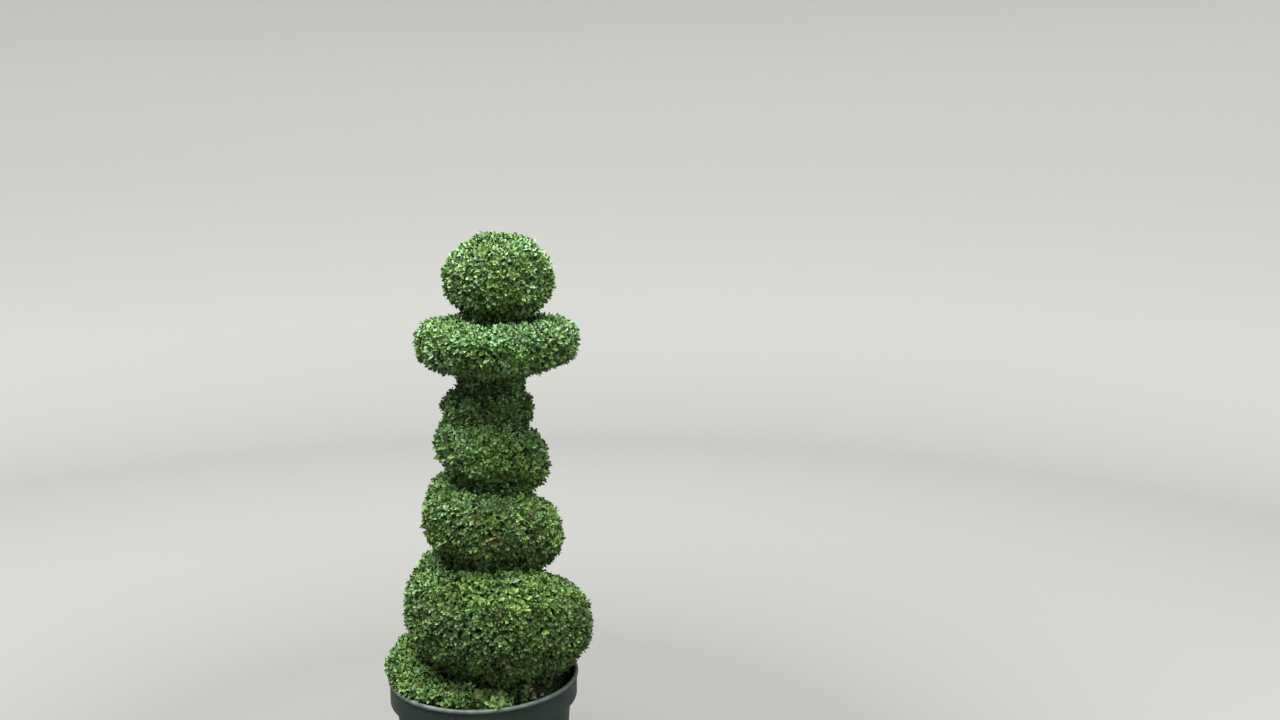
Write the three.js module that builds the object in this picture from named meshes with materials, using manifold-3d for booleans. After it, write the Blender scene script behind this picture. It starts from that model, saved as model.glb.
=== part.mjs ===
// A clipped boxwood topiary in a round plastic nursery pot.
// One leaning trunk carries a spiral roll of foliage, a flat collar above it and a ball on top.
// Millimetres, +Z up. The origin is the centre of the pot's flat underside, and the front faces -Y.

import * as THREE from 'three';
import { mergeVertices } from 'three/addons/utils/BufferGeometryUtils.js';
import Module from 'manifold-3d';

const wasm = await Module();
wasm.setup();

// Clearances
const SEAT_GAP = 0.3;
const NEIGHBOUR_GAP = 1.5;
const LIP_GAP = 5;
const LIP_GAP_ABOVE = 3;

// Nursery pot
const POT_HEIGHT = 400;
const POT_RIM_RADIUS = 250;
const POT_LIP_WIDTH = 12;
const POT_LIP_HEIGHT = 12;
const POT_LIP_INNER = POT_RIM_RADIUS - POT_LIP_WIDTH;
const POT_COLLAR_RADIUS = 246;
const POT_COLLAR_HEIGHT = 66;
const POT_WALL_RADIUS = 229;
const POT_BASE_RADIUS = 208;
const POT_WALL = 3;
const POT_BASE = 4;
const POT_FOOT_ROUND = 9;
const POT_FACETS = 40;
const DRAIN_SIDES = 8;
const DRAIN_HOLES = 8;
const DRAIN_RADIUS = 8;
const DRAIN_CIRCLE = 178;

// Growing mix
const SOIL_DROP = 38;
const SOIL_TOP = POT_HEIGHT - SOIL_DROP;

// Plant axis: it stands off the pot's centre and leans to the right under the collar
const AXIS_X = 22;
const AXIS_LEAN = 28;
const LEAN_FROM = 1100;
const LEAN_TO = 1271;

// Trunk, from its flat cut at soil level to its tip inside the ball
const TRUNK_FOOT = SOIL_TOP + SEAT_GAP;
const TRUNK_TIP = 1450;
const TRUNK_RADIUS = 19;
const TRUNK_TIP_RADIUS = 8;
const TRUNK_FLARE = 11;
const TRUNK_FLARE_HEIGHT = 34;
const TRUNK_BEND = 4;
const TRUNK_BEND_LENGTH = 520;
const TRUNK_BEND_SHARE_Y = 0.7;
const TRUNK_BEND_START_Y = 1;
const TRUNK_SIDES = 10;
const TRUNK_STEPS = 18;
const TRUNK_STEP_POWER = 1.5;

// Spiral: height of the groove, reach of the roll and share of the reach that its groove keeps, where
// they cross the left and the right side, turn by turn from one turn below the first left-hand crossing
const GROOVE_LEFT = [305, 487, 730, 948, 1092, 1167];
const GROOVE_RIGHT = [397, 666, 880, 1057, 1156, 1170];
// How much higher than a smooth line the groove runs in front, turn by turn from turn -1: it climbs fast
// from the right side and runs nearly level to the left one
const FRONT_LIFT = [0, 36, 12, 22, 0];
const FRONT_LIFT_SKEW = 0.75;
const ROLL_LEFT = [150, 281, 229, 175, 138, 120];
const ROLL_RIGHT = [185, 270, 196, 161, 121, 110];
const THROAT_LEFT = [0.72, 0.72, 0.72, 0.72, 0.74, 0.96];
const THROAT_RIGHT = [0.72, 0.72, 0.72, 0.72, 0.92, 0.8];
const ROLL_MIDDLE = 0.41;
const ROLL_TOP_POWER = 2;
const ROLL_UNDER_POWER = 1.7;
const TAIL_START = -0.265;
const TAIL_TAPER = 0.14;
const TAIL_END_HEIGHT = 34;
const TAIL_END_REACH = 0.86;
const TAIL_LIFT = 4;
const SPLIT_AT = 0.25;
const SPLIT_GAP = 0.0008;
const SPIRAL_END = 4.4;

// Collar and ball above the spiral
const COLLAR = {
  innerUnder: 34, innerTop: 34, neck: 1171, low: 1190, middle: 1271, high: 1345, reach: 211,
  throatUnder: 90, throatTop: 88, topPower: 3.4, underPower: 1.9, shiftX: 0,
};
const BALL = {
  innerUnder: 20, innerTop: 20, neck: 1347, low: 1347, middle: 1447, high: 1562, reach: 142,
  throatUnder: 86, throatTop: 0, topPower: 2, underPower: 2.2, shiftX: 8,
};

// Foliage core, left clear of the trunk, and how far the leaves stand out of it
const CORE_INNER = 38;
const CORE_WALL = 40;
const CORE_INSET = 21;
const CORE_GROOVE_INSET = 12;
const CORE_FLOOR_INSET = 2.5;
const CORE_FLOOR_STEP = 6;
const CORE_STEPS_PER_TURN = 20;
const CORE_SECTION_STEPS = 6;
const CORE_END_CENTRE = 0.4;

// Stems, twigs and leaves
const STEM_RADIUS = 7;
const STEM_TIP_RADIUS = 5.6;
const STEM_SIDES = 6;
const STEM_RISE = 0.45;
const STEM_SUNK = 24;
const TWIG_RADIUS = 4.6;
const TWIG_TIP_RADIUS = 4;
const TWIG_SIDE_RADIUS = 2.4;
const TWIG_LENGTHS = [14, 11, 8];
const TWIG_SUNK = 7;
const TWIG_FORK = 0.6;
const TWIG_TURNS = 7;
const TWIG_LIFT = 0.2;
const TWIG_SPREAD = 0.4;
const TWIG_SIDE_FORWARD = 0.4;
const LEAF_LENGTH = 42;
const LEAF_WIDTH = 22;
const LEAF_THICKNESS = 2.2;
const LEAF_SUNK = 1;
const LEAF_RISES = [0.5, 0.35, 0.2, 0.1, 0, -0.1, -0.2, -0.3, -0.4, -0.5];
const LEAF_TWIST = 0.5;
const LEAST_LEAVES = 2;
const SPRIG_SPACING = 96;
const SPRIG_DARTS = 1500;
const SPRIG_LATITUDE = 1.45;

// Face that each leaf grows out of, and its part of the way up the twig
const MAIN_TWIG_LEAVES = [[1, 0.92], [2, 0.8]];
const SIDE_TWIG_LEAVES = [[0, 0.85], [1, 0.95], [2, 0.75]];

const UP = new THREE.Vector3(0, 0, 1);
const GROW_AXIS = new THREE.Vector3(0, 1, 0);

// Seeded random numbers from 0 to 1
function seeded(seed) {
  let state = seed >>> 0;
  return () => {
    state = (state + 0x6d2b79f5) >>> 0;
    let mixed = Math.imul(state ^ (state >>> 15), state | 1);
    mixed ^= mixed + Math.imul(mixed ^ (mixed >>> 7), mixed | 61);
    return ((mixed ^ (mixed >>> 14)) >>> 0) / 4294967296;
  };
}

// Smooth line through the left and right stations, read by turns from its first station
function stations(left, right, firstTurn) {
  const values = left.flatMap((value, turn) => [value, right[turn]]);
  const curve = new THREE.SplineCurve(values.map((value, i) => new THREE.Vector2(i, value)));
  return (turn) => {
    const at = (turn - firstTurn) * 2 / (values.length - 1);
    return curve.getPoint(THREE.MathUtils.clamp(at, 0, 1)).y;
  };
}

const grooveLine = stations(GROOVE_LEFT, GROOVE_RIGHT, -1);
const rollReach = stations(ROLL_LEFT, ROLL_RIGHT, -1);
const rollThroat = stations(THROAT_LEFT, THROAT_RIGHT, -1);

// Height of the groove: the line through its stations, lifted between the right and the left side
function grooveHeight(turn) {
  const whole = Math.floor(turn);
  const lift = FRONT_LIFT[THREE.MathUtils.clamp(whole + 1, 0, FRONT_LIFT.length - 1)];
  const part = Math.max((turn - whole) * 2 - 1, 0);
  return grooveLine(turn) + lift * Math.sin(Math.PI * part ** FRONT_LIFT_SKEW) ** 2;
}

function axisX(z) {
  return AXIS_X + AXIS_LEAN * THREE.MathUtils.smoothstep(z, LEAN_FROM, LEAN_TO);
}

// A closed, outward-facing solid from a three.js geometry
function solid(geometry) {
  const bare = geometry.clone();
  bare.deleteAttribute('normal');
  bare.deleteAttribute('uv');
  const merged = mergeVertices(bare, 1e-4);
  const position = merged.attributes.position;
  const index = merged.index.array;
  const triangles = [];
  const [a, b, c] = [new THREE.Vector3(), new THREE.Vector3(), new THREE.Vector3()];
  let volume = 0;
  for (let i = 0; i < index.length; i += 3) {
    const [ia, ib, ic] = [index[i], index[i + 1], index[i + 2]];
    if (ia === ib || ib === ic || ia === ic) continue;
    triangles.push(ia, ib, ic);
    a.fromBufferAttribute(position, ia);
    b.fromBufferAttribute(position, ib);
    c.fromBufferAttribute(position, ic);
    volume += a.dot(b.cross(c));
  }
  if (volume < 0) triangles.reverse();
  return new wasm.Manifold(new wasm.Mesh({
    numProp: 3,
    vertProperties: new Float32Array(position.array),
    triVerts: new Uint32Array(triangles),
  }));
}

function joined(solids) {
  let row = solids;
  while (row.length > 1) {
    const next = [];
    for (let i = 0; i < row.length; i += 2) {
      next.push(i + 1 < row.length ? row[i].add(row[i + 1]) : row[i]);
    }
    row = next;
  }
  return row[0];
}

function geometryOf(body) {
  const mesh = body.getMesh();
  const geometry = new THREE.BufferGeometry();
  geometry.setAttribute('position', new THREE.BufferAttribute(mesh.vertProperties, 3));
  geometry.setIndex(new THREE.BufferAttribute(mesh.triVerts, 1));
  geometry.computeVertexNormals();
  return geometry;
}

// A lathe turns about its own Y axis, so its profile is stood up to turn about +Z
function turned(profile, facets, x = 0) {
  const points = profile.map(([radius, z]) => new THREE.Vector2(radius, z));
  return new THREE.LatheGeometry(points, facets).rotateX(Math.PI / 2).translate(x, 0, 0);
}

// Turn that stands a limb, made along the growing axis, between two points
function limbTurn(from, to) {
  const along = new THREE.Vector3().subVectors(to, from).normalize();
  return new THREE.Quaternion().setFromUnitVectors(GROW_AXIS, along);
}

// A straight tapering limb between two points
function limb(from, to, radiusFrom, radiusTo, sides, swing = 0) {
  const middle = new THREE.Vector3().addVectors(from, to).multiplyScalar(0.5);
  return new THREE.CylinderGeometry(radiusTo, radiusFrom, from.distanceTo(to), sides, 1)
    .rotateY(swing)
    .applyQuaternion(limbTurn(from, to))
    .translate(middle.x, middle.y, middle.z);
}

// The way that one of the faces of a three-sided limb looks
function faceOut(from, to, swing, face) {
  const angle = swing + (face * 2 + 1) * Math.PI / 3;
  return new THREE.Vector3(Math.sin(angle), 0, Math.cos(angle)).applyQuaternion(limbTurn(from, to));
}

// Pot: tapered wall, stepped collar and rolled lip, with drain holes near the edge of its base
function potBody() {
  const collarLow = POT_HEIGHT - POT_COLLAR_HEIGHT;
  const lipLow = POT_HEIGHT - POT_LIP_HEIGHT;
  const round = POT_LIP_HEIGHT / 4;
  const profile = [
    [0, 0],
    [POT_BASE_RADIUS - POT_FOOT_ROUND, 0],
    [POT_BASE_RADIUS, POT_FOOT_ROUND],
    [POT_WALL_RADIUS, collarLow],
    [POT_COLLAR_RADIUS - POT_WALL, collarLow],
    [POT_COLLAR_RADIUS, collarLow + POT_WALL],
    [POT_COLLAR_RADIUS, lipLow],
    [POT_RIM_RADIUS, lipLow + round],
    [POT_RIM_RADIUS - round / 2, POT_HEIGHT - round / 2],
    [POT_RIM_RADIUS - POT_LIP_WIDTH / 2, POT_HEIGHT],
    [POT_LIP_INNER, POT_HEIGHT - round],
    [POT_COLLAR_RADIUS - POT_WALL, lipLow],
    [POT_COLLAR_RADIUS - POT_WALL, collarLow + POT_WALL],
    [POT_WALL_RADIUS - POT_WALL, collarLow + POT_WALL],
    [POT_BASE_RADIUS - POT_WALL, POT_FOOT_ROUND],
    [POT_BASE_RADIUS - POT_FOOT_ROUND, POT_BASE],
    [0, POT_BASE],
  ];
  let pot = solid(turned(profile, POT_FACETS));
  for (let i = 0; i < DRAIN_HOLES; i += 1) {
    const angle = (i + 0.5) * 2 * Math.PI / DRAIN_HOLES;
    const hole = new THREE.CylinderGeometry(DRAIN_RADIUS, DRAIN_RADIUS, POT_BASE * 4, DRAIN_SIDES)
      .rotateX(Math.PI / 2)
      .translate(DRAIN_CIRCLE * Math.cos(angle), DRAIN_CIRCLE * Math.sin(angle), 0);
    pot = pot.subtract(solid(hole));
  }
  return pot;
}

// Growing mix: fills the pot's inside, just clear of its wall, to a flat top
function soilBody() {
  const collarLow = POT_HEIGHT - POT_COLLAR_HEIGHT;
  const inWall = POT_WALL + SEAT_GAP * 2;
  const step = collarLow + POT_WALL + SEAT_GAP;
  return solid(turned([
    [0, POT_BASE + SEAT_GAP],
    [POT_BASE_RADIUS - POT_FOOT_ROUND - SEAT_GAP, POT_BASE + SEAT_GAP],
    [POT_BASE_RADIUS - inWall, POT_FOOT_ROUND + SEAT_GAP],
    [POT_WALL_RADIUS - inWall, step],
    [POT_COLLAR_RADIUS - inWall, step],
    [POT_COLLAR_RADIUS - inWall, SOIL_TOP],
    [0, SOIL_TOP],
  ], POT_FACETS));
}

// Centre line and radius of the trunk at a height
function trunkCentre(z) {
  const bend = (z - TRUNK_FOOT) / TRUNK_BEND_LENGTH * 2 * Math.PI;
  const x = axisX(z) + TRUNK_BEND * Math.sin(bend);
  const y = TRUNK_BEND * Math.sin(bend * TRUNK_BEND_SHARE_Y + TRUNK_BEND_START_Y);
  return new THREE.Vector3(x, y, z);
}

function trunkRadius(z) {
  const up = THREE.MathUtils.clamp((z - TRUNK_FOOT) / (TRUNK_TIP - TRUNK_FOOT), 0, 1);
  const flare = TRUNK_FLARE * Math.exp(-Math.max(z - TRUNK_FOOT, 0) / TRUNK_FLARE_HEIGHT);
  return THREE.MathUtils.lerp(TRUNK_RADIUS, TRUNK_TIP_RADIUS, up) + flare;
}

// Trunk as one warped column: steps are closer together in the flare at its foot
function trunkBody(extra) {
  const column = new THREE.CylinderGeometry(1, 1, 1, TRUNK_SIDES, TRUNK_STEPS);
  const position = column.attributes.position;
  const height = TRUNK_TIP - TRUNK_FOOT + 2 * extra;
  for (let i = 0; i < position.count; i += 1) {
    const along = (position.getY(i) + 0.5) ** TRUNK_STEP_POWER;
    const z = TRUNK_FOOT - extra + along * height;
    const centre = trunkCentre(z);
    const radius = trunkRadius(z) + extra;
    position.setXYZ(i, centre.x + position.getZ(i) * radius,
      centre.y + position.getX(i) * radius, z);
  }
  return solid(column);
}

// Sizes of the roll's cross-section, at a number of turns up the spiral. Its top runs in to the
// throat of the turn above it
function rollSize(turn) {
  const floor = SOIL_TOP + TAIL_LIFT;
  const low = Math.max(grooveHeight(turn - 1), floor);
  const taper = THREE.MathUtils.clamp((turn - TAIL_START) / TAIL_TAPER, 0, 1);
  const swell = Math.sqrt(1 - (1 - taper) ** 2);
  const high = THREE.MathUtils.lerp(low + TAIL_END_HEIGHT, grooveHeight(turn), swell);
  const reach = rollReach(turn) * THREE.MathUtils.lerp(TAIL_END_REACH, 1, swell);
  const throatUnder = reach * rollThroat(turn);
  const throatTop = rollReach(turn + 1) * rollThroat(turn + 1);
  return {
    innerUnder: Math.max(CORE_INNER, throatUnder - CORE_WALL),
    innerTop: Math.max(CORE_INNER, throatTop - CORE_WALL),
    neck: low,
    low,
    high,
    middle: THREE.MathUtils.lerp(low, high, ROLL_MIDDLE),
    reach,
    throatUnder,
    throatTop,
    topPower: ROLL_TOP_POWER,
    underPower: ROLL_UNDER_POWER,
    shiftX: 0,
  };
}

// Distance from the axis and height on a cross-section, by its latitude from -90 to 90 degrees
function profileAt(size, latitude, inset, grooveInset) {
  const top = latitude > 0;
  const power = 2 / (top ? size.topPower : size.underPower);
  const throat = top ? size.throatTop : size.throatUnder;
  const out = Math.max(Math.cos(latitude), 0) ** power;
  const lift = Math.abs(Math.sin(latitude)) ** power;
  const span = top ? size.high - size.middle : size.low - size.middle;
  const kept = 1 - grooveInset / Math.abs(span);
  return {
    radius: throat + (size.reach - inset - throat) * out,
    z: size.middle + span * kept * lift,
  };
}

// Distance from the axis of a cross-section's outline at a height, or -1 above and below it
function reachAt(size, z, inset, grooveInset) {
  const top = z > size.middle;
  const span = top ? size.high - size.middle : size.middle - size.low;
  const part = Math.abs(z - size.middle) / (span - grooveInset);
  if (part > 1) return -1;
  const power = top ? size.topPower : size.underPower;
  const throat = top ? size.throatTop : size.throatUnder;
  return throat + (size.reach - inset - throat) * (1 - part ** power) ** (1 / power);
}

function placed(size, turn, radius, z) {
  const angle = Math.PI - 2 * Math.PI * turn;
  const x = axisX(z) + size.shiftX + radius * Math.cos(angle);
  return new THREE.Vector3(x, radius * Math.sin(angle), z);
}

// The foliage masses, from the tail on the soil to the ball
function roll(name, from, to, tint) {
  return { name, from, to, tint, size: rollSize, ring: false };
}
function ring(name, size, tint) {
  return { name, from: 0, to: 1, tint, size: () => size, ring: true };
}
const MASSES = [
  roll('foliage_tail', TAIL_START, SPLIT_AT, 0x5d8a3c),
  roll('foliage_turn_1', SPLIT_AT, SPLIT_AT + 1, 0x4f7d38),
  roll('foliage_turn_2', SPLIT_AT + 1, SPLIT_AT + 2, 0x47733a),
  roll('foliage_turn_3', SPLIT_AT + 2, SPLIT_AT + 3, 0x416b39),
  roll('foliage_turn_4', SPLIT_AT + 3, SPIRAL_END, 0x365c31),
  ring('foliage_collar', COLLAR, 0x4a7a41),
  ring('foliage_ball', BALL, 0x456f38),
];

// Cross-section of a core: the inset bulge, and the floor of the groove above and below it
function coreOutline(mass, turn) {
  const size = mass.size(turn);
  const outline = [];
  for (let i = 0; i <= CORE_SECTION_STEPS; i += 1) {
    const latitude = (i / CORE_SECTION_STEPS - 0.5) * Math.PI;
    const at = profileAt(size, latitude, CORE_INSET, CORE_GROOVE_INSET);
    outline.push([at.radius, at.z]);
  }
  const lowest = size.neck + CORE_FLOOR_INSET;
  outline.unshift([size.innerUnder, lowest], [size.throatUnder - CORE_FLOOR_STEP, lowest]);
  if (size.throatTop > 0) {
    const highest = size.high - CORE_FLOOR_INSET;
    outline.push([size.throatTop - CORE_FLOOR_STEP, highest], [size.innerTop, highest]);
  }
  return outline;
}

// Distance of a core's inner wall from the axis, at the middle of its height
function innerMiddle(size) {
  const part = (size.middle - size.low) / (size.high - size.low);
  return THREE.MathUtils.lerp(size.innerUnder, size.innerTop, part);
}

// Core of a roll: its cross-section swept round the axis as a warped column
function rollCore(mass) {
  const corners = coreOutline(mass, mass.from).length;
  const steps = Math.ceil((mass.to - mass.from) * CORE_STEPS_PER_TURN);
  const column = new THREE.CylinderGeometry(1, 1, 1, corners, steps);
  const position = column.attributes.position;
  for (let i = 0; i < position.count; i += 1) {
    const along = position.getY(i) + 0.5;
    const turn = THREE.MathUtils.lerp(mass.from + SPLIT_GAP, mass.to - SPLIT_GAP, along);
    const size = mass.size(turn);
    const across = Math.hypot(position.getX(i), position.getZ(i));
    const angle = Math.atan2(position.getX(i), position.getZ(i)) / (2 * Math.PI);
    const corner = Math.round((angle + 1) * corners) % corners;
    const [radius, z] = across > 0.5
      ? coreOutline(mass, turn)[corner]
      : [THREE.MathUtils.lerp(innerMiddle(size), size.reach, CORE_END_CENTRE), size.middle];
    const point = placed(size, turn, radius, z);
    position.setXYZ(i, point.x, point.y, point.z);
  }
  return solid(column);
}

// Core of the collar, with a bore right through, or of the ball, with a bore up to the trunk's tip
function ringCore(mass) {
  const size = mass.size(0);
  const profile = coreOutline(mass, 0);
  if (size.throatTop > 0) {
    profile.push(profile[0]);
  } else {
    const roof = TRUNK_TIP + size.innerTop / 2;
    profile[profile.length - 1][0] = 0;
    profile.unshift([0, roof], [size.innerTop, roof]);
  }
  return solid(turned(profile, CORE_STEPS_PER_TURN, axisX(size.middle) + size.shiftX));
}

// True where a point is in the mass's leafy outer layer and clear of the pot, soil and trunk
function inSpace(mass, point) {
  if (point.z < SOIL_TOP + NEIGHBOUR_GAP) return false;
  const fromPotAxis = Math.hypot(point.x, point.y);
  if (point.z < POT_HEIGHT + LIP_GAP_ABOVE && fromPotAxis > POT_LIP_INNER - LIP_GAP) return false;
  if (point.z < TRUNK_TIP + NEIGHBOUR_GAP) {
    const centre = trunkCentre(point.z);
    const off = Math.hypot(point.x - centre.x, point.y - centre.y);
    if (off < trunkRadius(point.z) + NEIGHBOUR_GAP) return false;
  }
  const x = point.x - axisX(point.z) - mass.size(mass.from).shiftX;
  const radius = Math.hypot(x, point.y);
  let turn = (Math.PI - Math.atan2(point.y, x)) / (2 * Math.PI);
  if (!mass.ring) {
    turn += Math.round((mass.from + mass.to) / 2 - turn);
    const margin = NEIGHBOUR_GAP / (2 * Math.PI * radius);
    if (turn < mass.from + margin || turn > mass.to - margin) return false;
  }
  return radius < reachAt(mass.size(turn), point.z, 0, NEIGHBOUR_GAP)
    && radius > reachAt(mass.size(turn), point.z, CORE_INSET, CORE_GROOVE_INSET);
}

// Evenly spread places on the core where a sprig stands, with the outward direction there
function sprigSites(mass, random) {
  const sites = [];
  const place = (turn, latitude, inset) => {
    const size = mass.size(turn);
    const at = profileAt(size, latitude, inset, inset ? CORE_GROOVE_INSET : 0);
    return placed(size, turn, at.radius, at.z);
  };
  for (let i = 0; i < SPRIG_DARTS; i += 1) {
    const turn = THREE.MathUtils.lerp(mass.from, mass.to, random());
    const spot = (random() * 2 - 1) * SPRIG_LATITUDE;
    const latitude = i === 0 ? SPRIG_LATITUDE : spot;
    const foot = place(turn, latitude, CORE_INSET);
    if (sites.some((site) => site.foot.distanceTo(foot) < SPRIG_SPACING)) continue;
    const along = place(turn + 0.01, latitude, CORE_INSET).sub(foot);
    const across = place(turn, latitude + 0.02, CORE_INSET).sub(foot);
    const normal = across.cross(along).normalize();
    sites.push({ foot, normal });
  }
  return sites;
}

// A leaf of eight faces, its root sunk in the twig, raised as far as its space allows
function leaf(mass, root, out, up, twist) {
  for (const rise of LEAF_RISES) {
    const along = out.clone().multiplyScalar(Math.sqrt(1 - rise * rise)).addScaledVector(up, rise);
    const across = new THREE.Vector3().crossVectors(along, up).normalize();
    across.applyAxisAngle(along, twist);
    const face = new THREE.Vector3().crossVectors(across, along);
    const middle = root.clone().addScaledVector(along, LEAF_LENGTH / 2 - LEAF_SUNK);
    const half = across.clone().multiplyScalar(LEAF_WIDTH / 2);
    const corners = [
      middle.clone().addScaledVector(along, LEAF_LENGTH / 2),
      middle.clone().add(half),
      middle.clone().sub(half),
    ];
    if (!corners.every((corner) => inSpace(mass, corner))) continue;
    return new THREE.OctahedronGeometry(1)
      .scale(LEAF_WIDTH / 2, LEAF_LENGTH / 2, LEAF_THICKNESS / 2)
      .applyMatrix4(new THREE.Matrix4().makeBasis(across, along, face))
      .translate(middle.x, middle.y, middle.z);
  }
  return null;
}

// A twig that forks out of one of its three faces, with leaves out of the others
function sprig(mass, site, random) {
  const spread = () => (random() - 0.5) * TWIG_SPREAD;
  const grow = site.normal.clone().addScaledVector(UP, TWIG_LIFT);
  grow.add(new THREE.Vector3(spread(), spread(), spread())).normalize();
  const reach = (long) => site.foot.clone().addScaledVector(grow, long);
  const length = TWIG_LENGTHS.find((long) => inSpace(mass, reach(long)));
  if (!length) return [];
  const [root, tip] = [reach(-TWIG_SUNK), reach(length)];
  const fork = root.clone().lerp(tip, TWIG_FORK);
  const firstSwing = random() * 2 * Math.PI;
  let best = { leaves: [] };
  for (let i = 0; i < TWIG_TURNS; i += 1) {
    const swing = firstSwing + i * 2 * Math.PI / TWIG_TURNS;
    const sideTip = fork.clone().addScaledVector(faceOut(root, tip, swing, 0), length);
    sideTip.addScaledVector(grow, length * TWIG_SIDE_FORWARD);
    if (!inSpace(mass, sideTip)) continue;
    const arms = [
      { from: root, to: tip, faces: MAIN_TWIG_LEAVES },
      { from: fork, to: sideTip, faces: SIDE_TWIG_LEAVES },
    ];
    const leaves = arms.flatMap(({ from, to, faces }) => faces.map(([face, part]) => {
      const up = to.clone().sub(from).normalize();
      const twist = (random() - 0.5) * LEAF_TWIST;
      const at = from.clone().lerp(to, part);
      return leaf(mass, at, faceOut(from, to, swing, face), up, twist);
    })).filter(Boolean);
    if (leaves.length > best.leaves.length) best = { leaves, sideTip, swing };
  }
  if (best.leaves.length < LEAST_LEAVES) return [];
  return [
    limb(root, tip, TWIG_RADIUS, TWIG_TIP_RADIUS, 3, best.swing),
    limb(fork, best.sideTip, TWIG_SIDE_RADIUS, TWIG_SIDE_RADIUS, 3, best.swing),
    ...best.leaves,
  ];
}

// The one stem that carries a mass, from just clear of the trunk into the core
function stem(mass) {
  if (mass.size(0).throatTop === 0) {
    const foot = trunkCentre(TRUNK_TIP);
    const head = foot.clone().addScaledVector(UP, BALL.innerTop / 2 + STEM_SUNK);
    return limb(foot, head, STEM_RADIUS, STEM_TIP_RADIUS, STEM_SIDES);
  }
  const turn = (mass.from + mass.to) / 2;
  const size = mass.size(turn);
  const reach = innerMiddle(size) + STEM_SUNK;
  const head = placed(size, turn, reach, size.middle);
  const foot = trunkCentre(Math.max(size.middle - reach * STEM_RISE, SOIL_TOP + STEM_RADIUS * 2));
  return limb(foot, head, STEM_RADIUS, STEM_TIP_RADIUS, STEM_SIDES);
}

// Everything that the foliage keeps clear of: the trunk, and the soil and the pot's rim below it
const trunkSpace = trunkBody(SEAT_GAP);
const rimSpace = solid(turned([
  [POT_LIP_INNER - LIP_GAP, 0],
  [POT_RIM_RADIUS * 2, 0],
  [POT_RIM_RADIUS * 2, POT_HEIGHT + LIP_GAP_ABOVE],
  [POT_LIP_INNER - LIP_GAP, POT_HEIGHT + LIP_GAP_ABOVE],
  [POT_LIP_INNER - LIP_GAP, 0],
], POT_FACETS));

function foliageBody(mass, seed) {
  const random = seeded(seed);
  const pieces = sprigSites(mass, random).flatMap((site) => sprig(mass, site, random));
  const core = mass.ring ? ringCore(mass) : rollCore(mass);
  const whole = joined([core, solid(stem(mass)), ...pieces.map(solid)]);
  const bodies = whole.subtract(trunkSpace).subtract(rimSpace).decompose();
  return bodies.reduce((most, body) => (body.volume() > most.volume() ? body : most));
}

function named(name, body, color, roughness) {
  const material = new THREE.MeshStandardMaterial({ color, roughness, metalness: 0 });
  const mesh = new THREE.Mesh(geometryOf(body), material);
  mesh.name = name;
  return mesh;
}

const topiary = new THREE.Group();
topiary.add(named('pot', potBody(), 0x2c3438, 0.45));
topiary.add(named('soil', soilBody(), 0x2d2219, 0.95));
topiary.add(named('trunk', trunkBody(0), 0x75644f, 0.85));
MASSES.forEach((mass, i) => {
  topiary.add(named(mass.name, foliageBody(mass, 100 + i), mass.tint, 0.5));
});

export default topiary;
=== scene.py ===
# The looks of a clipped boxwood spiral in its nursery pot: bark, boughs, twigs, leaves, growing mix and
# plastic. Metres, +Z up, the front faces -Y. The foliage grows by the same rule of turns and sections as the
# solid model.
import math
from typing import Callable, NamedTuple

import bpy
import numpy as np
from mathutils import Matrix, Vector


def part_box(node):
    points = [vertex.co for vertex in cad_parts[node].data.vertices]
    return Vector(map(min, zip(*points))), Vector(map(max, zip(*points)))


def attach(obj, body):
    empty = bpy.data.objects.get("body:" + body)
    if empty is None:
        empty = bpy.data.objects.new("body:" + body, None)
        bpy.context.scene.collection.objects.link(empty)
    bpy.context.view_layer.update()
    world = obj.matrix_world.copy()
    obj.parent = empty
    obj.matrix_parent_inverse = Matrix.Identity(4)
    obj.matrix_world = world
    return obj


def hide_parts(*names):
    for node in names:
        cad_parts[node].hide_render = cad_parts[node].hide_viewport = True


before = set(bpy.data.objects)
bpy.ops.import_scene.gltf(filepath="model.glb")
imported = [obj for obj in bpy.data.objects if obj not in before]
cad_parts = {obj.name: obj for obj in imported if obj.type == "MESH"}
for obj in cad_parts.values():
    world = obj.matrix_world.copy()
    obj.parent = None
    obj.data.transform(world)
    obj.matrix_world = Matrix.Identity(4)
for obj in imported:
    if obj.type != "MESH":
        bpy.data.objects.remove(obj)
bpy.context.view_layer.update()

# Pot and growing mix, round the frame's own sizes
pot_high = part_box("pot")[1]
soil_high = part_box("soil")[1]
trunk_low, trunk_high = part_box("trunk")
POT_RADIUS = pot_high.x
POT_HEIGHT = pot_high.z
SOIL_TOP = soil_high.z
SOIL_RADIUS = soil_high.x
POT_COLLAR_RADIUS = POT_RADIUS - 0.004
POT_COLLAR_LOW = POT_HEIGHT - 0.066
WALL_RADIUS = POT_RADIUS - 0.021
BASE_RADIUS = POT_RADIUS - 0.042
FOOT_RADIUS = 0.010
WALL = 0.003
LEDGE = POT_COLLAR_LOW + WALL
BASE = 0.004
STEP_ROUND = 0.003
LIP_WIDTH = 0.012
LIP_INNER = POT_RADIUS - LIP_WIDTH
POT_SEGMENTS = 192
POT_WOBBLE = 0.0008
SHARP_ANGLE = math.radians(38)
SPLASH_HEIGHT = 0.11
DRAIN_HOLES = 8
DRAIN_RADIUS = 0.008
DRAIN_CIRCLE = 0.178
SOIL_RINGS = 78
SOIL_SEGMENTS = 230
SOIL_GAP = 0.0006
SOIL_MOUND = 0.004
SOIL_MOUND_SPREAD = 0.06

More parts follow.
